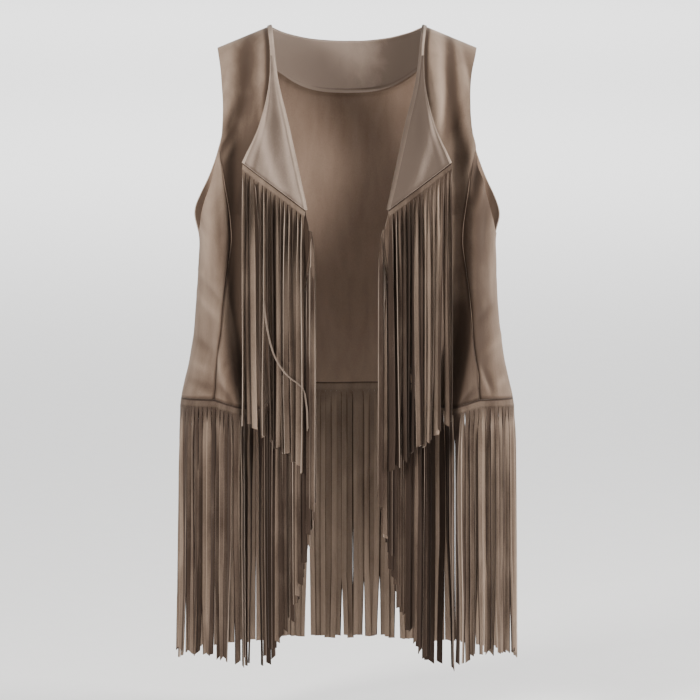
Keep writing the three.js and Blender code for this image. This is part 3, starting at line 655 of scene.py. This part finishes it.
def buildSide(side, name, sideName):
    bm = bmesh.new()

    def sidePlace(u, w):
        zTop = sideTopZ(mix(sideFirstAngle, 90, u))
        z = mix(zTop, sideHem - sideHemFall * u, w)
        width, first = halfWidthAt(z), seamAngle(z)
        angle = mix(first, 90, u) + 0.15 * (1 - u) - 0.1 * u  # with a gap at either seam
        return width * math.sin(math.radians(angle)), z, angle, (angle - first) * width * 0.0105

    def cell(u, w):
        x, z, angle, fromSeam = sidePlace(u, w)
        tuck = tuckAt(fromSeam) + tuckAt((90 - angle) * 2.0)
        return onSide(side, bodyPoint(sideName, x, z, math.cos(math.radians(angle)), tuck=tuck))

    # Shade painted on the side panel: its hollows and creases, with dark lines at the seam and the hem.
    def shade(u, w):
        x, z, _, fromSeam = sidePlace(u, w)
        seamLine = 0.6 * bell(fromSeam, 0, 1.7) * ease((-z - 215) / 40)
        return paintedShadeAt(sideName, x, z) + seamLine + 0.55 * ease((w - 0.985) * 80)

    newGrid(bm, 34, 110, cell, shade)
    return finishSheet(name, bm, panelCloth, wallThick, awayFromMiddle, rimBevel=panelBevel)


# Back panel: s runs from -1 at the left side to 1 at the right one.
def backPlace(s, zEdge):
    t = (zEdge - backTop) / (backLow - backTop)
    topWidth = halfWidthAt(backTop)
    topX = topWidth * math.sin(math.radians(backTopAngle * abs(s)))
    zTop = backNeckZ(topX) if topX < neckHalf else shoulderZ(topX)
    z = mix(zTop, backHem - backHemFall * s * s, t)
    width = mix(topWidth, halfWidthAt(z), clamp(t * 20))
    angle = min(90.0, backEdgeAngle(zEdge)) * abs(s)
    angle -= 0.1 * clamp(abs(s) * 20 - 19) * clamp((-278 - zEdge) / 5)  # gap at the side seam
    x = width * math.sin(math.radians(angle)) * (1 if s > 0 else -1)
    return x, z, math.cos(math.radians(angle)), angle


def backPoint(s, zEdge, depthIn=0.0):
    x, z, cosine, angle = backPlace(s, zEdge)
    tuck = tuckAt((90 - angle) * 2.0) if zEdge < -283 else 0.0
    p = bodyPoint("back", x, z, cosine, depthIn, tuck)
    if zEdge > -40:
        p.y = max(p.y, seamGap / 2 + depthIn)
    return p


def buildBack():
    bm = bmesh.new()

    def place(u, w):
        return mix(-1, 1, u), mix(backTop, backLow, w)

    # Shade painted on the back's outside in its creases, with a dark line at the hem.
    def shade(u, w):
        x, z, _, _ = backPlace(*place(u, w))
        return paintedShadeAt("back", x, z) + 0.9 * ease((w - 0.99) * 100)

    # Shade painted on the inside of the back: darker at the armholes and high up, lighter low down, a
    # painted shadow line under the neck facing, and soft vertical bands of shade.
    def innerShade(u, w):
        x, z, _, _ = backPlace(*place(u, w))
        armhole = 0.75 * ease((abs(x) - 182) / 14) * ease((z + 330) / 60)
        underFacing = 0.22 * bell(z, facingLowZ(abs(x)) - 3, 3.5)
        bands = 0.1 * math.sin(x / 17 + 0.8) * ease((-z - 110) / 120)
        return armhole + underFacing + bands + 0.24 * ease((z + 210) / 90) - 0.22 * ease((-z - 150) / 150)

    newGrid(bm, 112, 124, lambda u, w: backPoint(*place(u, w)), shade, innerShade)
    return finishSheet("backPanel", bm, panelCloth, wallThick, awayFromMiddle, rimBevel=panelBevel)


def buildNeckFacing():
    bm = bmesh.new()

    def cell(u, w):
        s = mix(-0.75, 0.75, u)
        low = facingLowZ(abs(backPlace(s, -58)[0]))
        zTop = backPlace(s, backTop)[1]
        share = clamp((zTop - low) / (zTop - backHem), 0.012, 1)
        p = backPoint(s, mix(backTop, backTop + share * (backLow - backTop), w), wallThick + 0.9)
        p.y -= 0.3 * bell(w, 1, 0.06)  # the sewn edge stands off a little
        return p

    # Light and shade painted on the neck facing: lighter at the left and darker at the right, a lighter
    # wedge low at the left, a painted shadow line just above the lower edge, and the edge itself painted
    # light.
    def shade(u, w):
        across = mix(-0.7, 1.0, ease((u - 0.45) / 0.35))
        wedge = -0.35 * ease((w - (u - 0.22) * 4) * 4) * ease((0.45 - u) * 8)
        edgeLines = 0.8 * bell(w, 0.93, 0.016) - 0.45 * ease((w - 0.955) * 40)
        return across + wedge + edgeLines

    newGrid(bm, 96, 40, cell, shade)
    return finishSheet("backNeckFacing", bm, facingCloth, facingThick, awayFromMiddle, rimBevel=facingBevel)


# Fringe: a sewn strip slit into strands, each a narrow ribbon that shares the strip's lower points.
class EdgeLine:
    def __init__(self, entries):
        self.out = [e[0] for e in entries]
        self.inward = [(e[1] - e[0]).normalized() for e in entries]
        self.thick = [e[2] for e in entries]
        self.length = [0.0]
        for a, b in zip(self.out, self.out[1:]):
            self.length.append(self.length[-1] + (b - a).length)
        self.total = self.length[-1]
        self.down = []
        for i in range(len(entries)):
            along = (self.out[min(i + 1, len(entries) - 1)] - self.out[max(i - 1, 0)]).normalized()
            away = -self.inward[i]
            self.down.append((away - along * away.dot(along)).normalized())

    def at(self, length):
        i = 0
        while i < len(self.out) - 2 and self.length[i + 1] < length:
            i += 1
        t = clamp((length - self.length[i]) / (self.length[i + 1] - self.length[i]))
        return (self.out[i].lerp(self.out[i + 1], t), self.down[i].lerp(self.down[i + 1], t).normalized(),
                self.thick[i].lerp(self.thick[i + 1], t))


ribbonSteps, ribbonWays = 30, 4  # cells down and across a strand
ribbonOffs = (-1, -0.68, 0, 0.68, 1)  # places across it, from edge to edge
strandFall = {"back": 358, "front": 345}  # from the seam to a strand's end


def buildFringe(name, line, plan, side, outward):
    bm = bmesh.new()
    rng = random.Random(plan["seed"])
    strands = []
    at = plan["start"]
    while at + plan["width"](at / line.total) < line.total - plan["finish"]:
        share = at / line.total
        strands.append({"from": at, "to": at + plan["width"](share), "share": share})
        at += plan["pitch"](share, len(strands))

    def stripPoint(length, w, share):
        p, down, inner = line.at(length)
        fall = down.lerp(Vector((0, 0, -1)), plan["sag"](share)).normalized()
        return p + inner * (fringeThick / 2) + down * trimGap + fall * plan["header"](share) * w

    count, perStrand = len(strands), ribbonWays + 1
    columns = perStrand * count - 1

    def stripCell(u, w):
        k = round(u * columns)
        strand = strands[k // perStrand]
        length = mix(strand["from"], strand["to"], (k % perStrand) / ribbonWays)
        return onSide(side, stripPoint(length, w, strand["share"]))

    def stripShade(u, w):
        sewn = 0.85 * clamp(1 - 4 * w)  # dark line where the strip meets the cloth
        return plan["stripShade"] + sewn + 0.15 * ease(w * 4 - 3)

    newGrid(bm, columns, 4, stripCell, stripShade)
    for index, strand in enumerate(strands):
        roots = [stripPoint(mix(strand["from"], strand["to"], k / ribbonWays), 1.0, strand["share"])
                 for k in range(perStrand)]
        strand["root"] = (roots[0] + roots[-1]) / 2
        strand["seam"] = stripPoint((strand["from"] + strand["to"]) / 2, 0.0, strand["share"])
        strand["across"] = roots[-1] - roots[0]
        strand["index"] = index
        shape = plan["strand"](strand, rng)
        curl, slant = rng.uniform(0.5, 1.7) * rng.choice((-1, 1)), rng.uniform(-1, 1) * plan["slant"]
        edges = [-rng.uniform(0.1, 0.6), rng.uniform(0.5, 1.3)]  # one edge painted light as if lit, one painted in shade
        rng.shuffle(edges)

        def ribbonCell(u, w):
            k = round(u * ribbonWays)
            if w < 1e-6:
                p = roots[k]
            else:
                yaw, width, off = shape["yaw"](w), shape["width"](w), ribbonOffs[k]
                front = Vector((math.sin(yaw), -math.cos(yaw), 0))
                p = shape["path"](w) + heading(yaw) * (width * off / 2)
                p += front * (curl * ease(w * 8) * (1 - off * off))
                p.z += slant * off * (w > 0.999)
            return onSide(side, p)

        def ribbonShade(u, w):
            k = round(u * ribbonWays)
            edge = edges[0] if k == 0 else edges[1] if k == ribbonWays else -0.04
            drift = 0.16 * noise.noise(Vector((index * 1.7, w * 3.3, plan["seed"])))
            tone = shape["shade"] + drift + edge * plan["edges"] * shape.get("edges", 1)
            return mix(plan["stripShade"] + 0.15, tone, ease(w * 14))

        newGrid(bm, ribbonWays, shape.get("steps", ribbonSteps), ribbonCell, ribbonShade)
    print("vest:", name, count, "strands on a strip of", round(line.total), "mm")
    return finishSheet(name, bm, ["fringe", "edge"], fringeThick, outward, 0.0)


def angleNear(angle, reference):
    return angle + 2 * math.pi * round((reference - angle) / (2 * math.pi))


def awayFromBody(p):
    return Vector((p.x / 50, p.y / 26, 0)).normalized()


# Long gaps between strands, each opened by the strands on both sides leaning away from it.
def leanFrom(gaps, place, z):
    lean = 0.0
    for gap in gaps:
        if z < gap["top"]:
            opened = clamp((gap["top"] - z) / (gap["top"] - gap["end"])) ** 0.8
            distance = place - gap["at"]
            push = gap["width"] / 2 * opened * math.exp(-abs(distance) / gap["reach"])
            lean += math.copysign(push, distance)
    return lean


backGaps = [
    {"at": -56, "top": -700, "end": -860, "width": 11, "reach": 15},
    {"at": -5, "top": -775, "end": -860, "width": 8, "reach": 12},
    {"at": 24, "top": -765, "end": -860, "width": 7, "reach": 10},
    {"at": 42, "top": -775, "end": -860, "width": 8, "reach": 11},
    {"at": 65, "top": -700, "end": -860, "width": 11, "reach": 15},
    {"at": 219, "top": -720, "end": -860, "width": 8, "reach": 8},
    {"at": -88, "top": -830, "end": -860, "width": 4, "reach": 8},
]


def backStrand(strand, rng):
    root, seam, across = strand["root"], strand["seam"], strand["across"]
    along = math.atan2(across.y, across.x)
    tangent, away = heading(along), awayFromBody(root)
    end = seam.z - strandFall["back"] + 5 * (rng.random() - 0.5)
    twist = [rng.uniform(-0.3, 0.3), rng.uniform(-0.3, 0.3)]
    phase, sway = rng.uniform(0, 6.28), rng.uniform(0.2, 0.9)
    under = strand["index"] % 2
    layer = under * 1.9
    drop = root.z - end

    def path(w):
        z = root.z - drop * w
        p = root + away * (4 * w + layer * ease(w * 8)) + tangent * (sway * math.sin(phase + 4.2 * w) * w)
        p += tangent * leanFrom(backGaps, root.x, z) * (1 if tangent.x > 0 else -1)
        p.z = z
        return p

    def yaw(w):
        return along + ease(w * 6) * (twist[0] * math.sin(2.6 * w + phase) + twist[1] * w * 0.6)

    return {"path": path, "yaw": yaw, "shade": -0.27 + rng.uniform(-0.22, 0.22),
            "width": lambda w: mix(across.length, 7.5 + 1.2 * under, ease(w * 22))}


hemGaps = {
    "left": [
        {"at": 212, "top": -770, "end": -860, "width": 6, "reach": 10},
        {"at": 193, "top": -765, "end": -860, "width": 7, "reach": 10},
        {"at": 174, "top": -740, "end": -860, "width": 9, "reach": 12},
        {"at": 150, "top": -700, "end": -860, "width": 11, "reach": 14},
        {"at": 124, "top": -720, "end": -860, "width": 9, "reach": 12},
    ],
    "right": [
        {"at": 218, "top": -700, "end": -860, "width": 7, "reach": 8},
        {"at": 197, "top": -770, "end": -860, "width": 6, "reach": 9},
        {"at": 172, "top": -760, "end": -860, "width": 7, "reach": 10},
        {"at": 160, "top": -790, "end": -860, "width": 5, "reach": 8},
        {"at": 131, "top": -690, "end": -860, "width": 12, "reach": 14},
    ],
}
# Painted shade of the hem strands, darkest where they hang in the front's deep fold.
hemShades = {  # depth of tone by the distance from the vest's middle
    "left": {"x": [50, 80, 95, 107, 117, 128, 142, 180, 230],
             "shade": [0.35, 0.4, 0.46, 0.75, 0.95, 0.75, 0.46, 0.42, 0.4]},
    "right": {"x": [50, 80, 105, 122, 134, 146, 162, 190, 230],
              "shade": [0.5, 0.6, 0.56, 0.8, 1.0, 0.8, 0.4, 0.2, 0.2]},
}
hemShadeOf = {side: Curve(table, "x", "shade") for side, table in hemShades.items()}


def hemStrand(corner, sideName):
    gaps, shadeOf = hemGaps[sideName], hemShadeOf[sideName]

    def make(strand, rng):
        share, root, seam, across = strand["share"], strand["root"], strand["seam"], strand["across"]
        along = math.atan2(across.y, across.x)
        steep = clamp((share - corner + 0.04) / 0.12)  # 1 where the strip climbs the cutaway edge
        tangent, away = heading(along), awayFromBody(root)
        end = seam.z - strandFall["front"] + 7 * (rng.random() - 0.5)
        if share > corner - 0.1:
            end += rng.uniform(-9, 6)
        twist = [rng.uniform(-0.55, 0.55), rng.uniform(-0.4, 0.4)]
        hang = rng.choice((0.0, 0.1, -0.15, 0.35, -0.4, 0.7, -0.8))  # one that hangs turned shows its edge
        phase, sway = rng.uniform(0, 6.28), rng.uniform(0.3, 1.5)
        layer = (strand["index"] % 2) * 2.4 * (1 - steep) + (strand["index"] % 3) * 2.1 * steep
        stack = angleNear(math.atan2(0.64, -0.77), along)
        flat = angleNear(math.pi + 0.35, stack)
        drop = root.z - end
        lean = rng.uniform(-2.2, 2.2)

        def path(w):
            p = root + away * (3 * w * (1 - steep)) + Vector((-1.2, -1.6, 0)) * steep * ease(w * 10)
            p += tangent * ((sway * math.sin(phase + 4.6 * w) * w + lean * w * w) * (1 - steep))
            p += Vector((0, -layer, 0)) * ease(w * 5) + Vector((lean * 0.6 * w * w * steep, 0, 0))
            p.z = root.z - drop * w
            p.x += leanFrom(gaps, root.x, p.z)
            return p

        def yaw(w):
            base = mix(along, mix(stack, flat, ease(w * 1.6) * 0.75), steep)
            turned = hang * (1 - 0.6 * steep) * ease(w * 3)
            return base + turned + ease(w * 6) * (twist[0] * math.sin(2.8 * w + phase) + twist[1] * w * 0.5)

        return {"path": path, "yaw": yaw, "shade": shadeOf(root.x) + rng.uniform(-0.3, 0.3),
                "edges": mix(1, 0.4, steep),
                "width": lambda w: mix(across.length, mix(7.5, 6.4, steep), ease(w * 9)) - rootDip(w)}
    return make


def rootDip(w):
    return 1.7 * bell(w, 0.035, 0.03)  # the slits open wider just under the strip


def frontmost(x, zTop, zEnd):
    y, z = 0.0, zTop
    while z > max(zEnd, frontLowest):
        y = min(y, bodyY("front", x, z))
        z -= 12
    return y


# One thin strand of the left lapel strays across the others.
stray = {"index": 3, "width": 1.3, "ahead": 17.0, "z": [-530, -495, -472, -460, -439, -402, -336, -283],
         "x": [52, 54, 61, 77, 92.5, 104, 111, 113]}
strayX = Curve(stray, "z", "x")
# Painted shade of the lapel strands, the right ones mostly darker than the left, as if further from the
# lamp.
lapelShades = {
    "left": {"x": [54, 62, 80, 100, 125, 138], "shade": [-0.1, 0.1, 0.22, 0.2, 0.25, 0.2]},
    "right": {"x": [54, 62, 80, 95, 105, 125, 138], "shade": [0.55, 0.6, 0.6, 0.45, 0.1, 0.1, 0.25]},
}
lapelShadeOf = {side: Curve(table, "x", "shade") for side, table in lapelShades.items()}


def lapelStrand(side):
    def make(strand, rng):
        share, root, seam = strand["share"], strand["root"], strand["seam"]
        index = strand["index"]
        strays = side < 0 and index == stray["index"]
        shadeOf = lapelShadeOf["right" if side > 0 else "left"]
        turn = (1 if index % 2 else -1) * 0.12 + 1.05
        end = seam.z - strandFall["front"] + 10 * (rng.random() - 0.5)
        rest = min(root.y - 1, frontmost(root.x, root.z - 20, end) - 6.0)
        if strays:
            end = stray["z"][0]
        drop = root.z - end
        phase, sway = rng.uniform(0, 6.28), rng.uniform(0.4, 2.2)
        twist = rng.uniform(-0.5, 0.5)
        flat = rng.choice((0.0, 0.15, 0.3, 0.6, 0.95, 1.2))
        layer = (index % 3) * 1.7
        lean = rng.uniform(-3.5, 3.5)
        shade = shadeOf(root.x) + rng.uniform(-0.32, 0.32)
        along = math.atan2(strand["across"].y, strand["across"].x)
        base = angleNear(math.pi - turn, along)

        def path(w):
            z = root.z - drop * w
            y = mix(root.y, rest, ease(min(1, drop * w / 150)))
            p = Vector((root.x - share * w, y - layer * ease(w * 4), z))
            p.x += sway * math.sin(phase + 4.4 * w) * w + lean * w * w
            if strays:
                p.x = mix(root.x, strayX(z), ease(w * 3))
                p.y += 5 - (stray["ahead"] + 5) * ease((-z - 330) / 50)
            return p

        def yaw(w):
            target = angleNear(math.pi - flat, base)
            turnIn = ease(drop * w / 14)
            relax = ease((drop * w - 20) / 120)
            return mix(along, mix(base, target, relax), turnIn) + twist * math.sin(3.1 * w + phase) * relax

        width = stray["width"] if strays else rng.uniform(6.2, 8.2)
        return {"path": path, "yaw": yaw, "shade": 0.42 if strays else shade, "edges": 0 if strays else 1,
                "steps": 64 if strays else ribbonSteps,
                "width": lambda w: mix(strand["across"].length, width, ease(w * 7)) - 0.6 * rootDip(w)}
    return make


def buildBackFringe():
    entries = []
    for k in range(161):
        s = mix(-1, 1, k / 160)
        p, up = backPoint(s, backLow), backPoint(s, backLow + 15)
        x, z, cosine, _ = backPlace(s, backLow)
        entries.append((p, up, -bodyNormal("back", x, z, cosine)))
    plan = {"seed": 11, "start": 1.2, "finish": 1.0, "pitch": lambda share, k: 7.6,
            "width": lambda share: 7.45, "header": lambda share: 12.0, "sag": lambda share: 0.25,
            "strand": backStrand, "stripShade": -0.2, "slant": 0.6, "edges": 1.4}
    return buildFringe("backFringe", EdgeLine(entries), plan, 1, awayFromMiddle)


hemSteps = {"side": 60, "front": 57, "edge": 120}  # steps of the line below each part


# The line that the hem fringe is sewn along: the side's hem, the front's hem, then up the cutaway edge.
def hemEntries(sideName):
    entries = []

    def add(edge, up):
        entries.append((bodyPoint(sideName, *edge), bodyPoint(sideName, *up), -bodyNormal("front", *edge)))

    def sidePlace(z, u):
        angle = math.radians(mix(seamAngle(z), 90, u))
        return halfWidthAt(z) * math.sin(angle), z, math.cos(angle)

    for k in range(hemSteps["side"] + 1):
        u = 1 - k / hemSteps["side"]
        z = sideHem - sideHemFall * u
        add(sidePlace(z, u), sidePlace(z + 15, u))
    for k in range(1, hemSteps["front"]):
        s = k / hemSteps["front"]
        add(frontPlace(hemRow, s), frontPlace(hemRow - 1, s))
    for k in range(hemSteps["edge"] + 1):
        t = mix(hemRow, 10.8, k / hemSteps["edge"])
        add(frontPlace(t, 1), frontPlace(t, 0.93) if k else frontPlace(hemRow - 1, 0.86))
    return entries


def buildHemFringe(side, name, sideName, seed):
    line = EdgeLine(hemEntries(sideName))
    corner = line.length[hemSteps["side"] + hemSteps["front"]] / line.total
    level = corner - 0.06  # up to this share the strip lies along the hem
    plan = {
        "seed": seed, "start": 1.0, "finish": 3.0,
        "pitch": lambda share, k: 7.75 + 0.3 * math.sin(k * 1.3) if share < level else 11.2,
        "width": lambda share: 6.5 if share < corner - 0.03 else 5.4,
        "header": lambda share: 10.5 if share < level else 4.5,
        "sag": lambda share: 0.25 if share < level else 0.3,
        "strand": hemStrand(corner, sideName), "slant": 4.0, "edges": 1.2,
        "stripShade": 0.34 if side < 0 else 0.2,
    }
    return buildFringe(name, line, plan, side, awayFromMiddle)


def buildLapelFringe(side, name, seed):
    entries = []
    for k in range(61):
        q = 1 - k / 60
        p, up = lapelFace(lapelRow, q), lapelFace(lapelRow - 1, q)
        p.y -= lapelWave(side, lapelRow, q)
        entries.append((p, up, Vector((0, 1, 0))))
    line = EdgeLine(entries)
    room = line.total - 6.8
    pitch = room / round(room / 7.1)  # near 7.1 mm, so that the strands fill the edge from end to end
    plan = {"seed": seed, "start": 1.2, "finish": 0.1, "pitch": lambda share, k: pitch,
            "width": lambda share: 5.4, "header": lambda share: 9.0, "sag": lambda share: 0.8,
            "strand": lapelStrand(side), "stripShade": 0.0 if side < 0 else 0.25, "slant": 3.0, "edges": 0.9}
    return buildFringe(name, line, plan, side, towardsFront)


def keep(piece, slotName, *nodes):
    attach(piece, "root")
    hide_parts(*nodes)
    return piece


back = keep(buildBack(), "suede", "back_panel")
neckFacing = keep(buildNeckFacing(), "facing", "back_neck_facing")
print("vest: back made")
backFringe = keep(buildBackFringe(), "fringe", "fringe_back")
for sideName, side, seed in (("right", 1, 23), ("left", -1, 37)):
    front = keep(buildFront(side, "front_" + sideName + "_cloth", sideName), "suede", "front_" + sideName)
    sidePanel = keep(buildSide(side, "side_" + sideName + "_cloth", sideName), "suede", "side_" + sideName)
    lapelFacing = keep(buildLapelFacing(side, "lapel_facing_" + sideName + "_cloth"), "facing",
                       "lapel_facing_" + sideName)
    hem = keep(buildHemFringe(side, "hem_fringe_" + sideName, sideName, seed), "fringe",
               "fringe_hem_" + sideName)
    lapelFringe = keep(buildLapelFringe(side, "lapel_fringe_" + sideName, seed + 4), "fringe",
                       "fringe_lapel_" + sideName)
    print("vest:", sideName, "side made")


# Camera as in the photograph, soft studio light and a pale floor.
def aimAt(thing, target):
    thing.rotation_euler = (Vector(target) - thing.location).to_track_quat("-Z", "Y").to_euler()


cameraPlan = {"distance": 6.0, "elevation": 7.0, "target": (0.004, 0.0, -0.441), "angle": 9.01}
cameraData = bpy.data.cameras.new("camera")
cameraData.angle = math.radians(cameraPlan["angle"])
camera = addObject("camera", cameraData)
lift = math.radians(cameraPlan["elevation"])
towardsCamera = Vector((0, -math.cos(lift), math.sin(lift)))
camera.location = Vector(cameraPlan["target"]) + cameraPlan["distance"] * towardsCamera
aimAt(camera, cameraPlan["target"])
bpy.context.scene.camera = camera

lights = [
    {"name": "key", "at": (-2.5, -2.7, 0.9), "size": 1.0, "power": 215, "colour": (1.0, 0.97, 0.93)},
    {"name": "side", "at": (3.0, -0.4, 0.3), "size": 1.2, "power": 175, "colour": (1.0, 0.97, 0.93)},
    {"name": "top", "at": (0.2, 0.8, 2.6), "size": 1.8, "power": 40, "colour": (1.0, 1.0, 1.0)},
    {"name": "backdrop", "at": (0.0, 9.0, 5.0), "size": 6.0, "power": 900, "colour": (1.0, 1.0, 1.0),
     "aim": (0.0, 9.0, -1.0)},
    {"name": "farBackdrop", "at": (0.0, 22.0, 10.0), "size": 16.0, "power": 5000, "colour": (1.0, 1.0, 1.0),
     "aim": (0.0, 26.0, -1.0)},
]
for plan in lights:
    data = bpy.data.lights.new(plan["name"], "AREA")
    data.size, data.energy, data.color = plan["size"], plan["power"], plan["colour"]
    light = addObject(plan["name"], data)
    light.location = plan["at"]
    aimAt(light, plan.get("aim", (0, 0, -0.4)))

world = bpy.data.worlds.new("studio")
world.use_nodes = True
world.node_tree.nodes["Background"].inputs["Color"].default_value = (1, 1, 1, 1)
world.node_tree.nodes["Background"].inputs["Strength"].default_value = 0.5
bpy.context.scene.world = world

floorBm = bmesh.new()
bmesh.ops.create_circle(floorBm, cap_ends=True, segments=96, radius=40.0)
bmesh.ops.translate(floorBm, verts=floorBm.verts, vec=(0, 0, -0.96))
floorMesh = bpy.data.meshes.new("floor")
floorBm.to_mesh(floorMesh)
floorBm.free()
floor = addObject("floor", floorMesh)
paper = Finish("paperFloor")
grain = paper.noise((1, 1, 1), 30.0)
tint = paper.blend(grain, (0.84, 0.84, 0.84, 1), (0.87, 0.87, 0.87, 1))
paper.fill(paper.shader, {"Base Color": tint, "Roughness": 0.9})
floorMesh.materials.append(paper.material)
print("vest: camera, light and floor made")
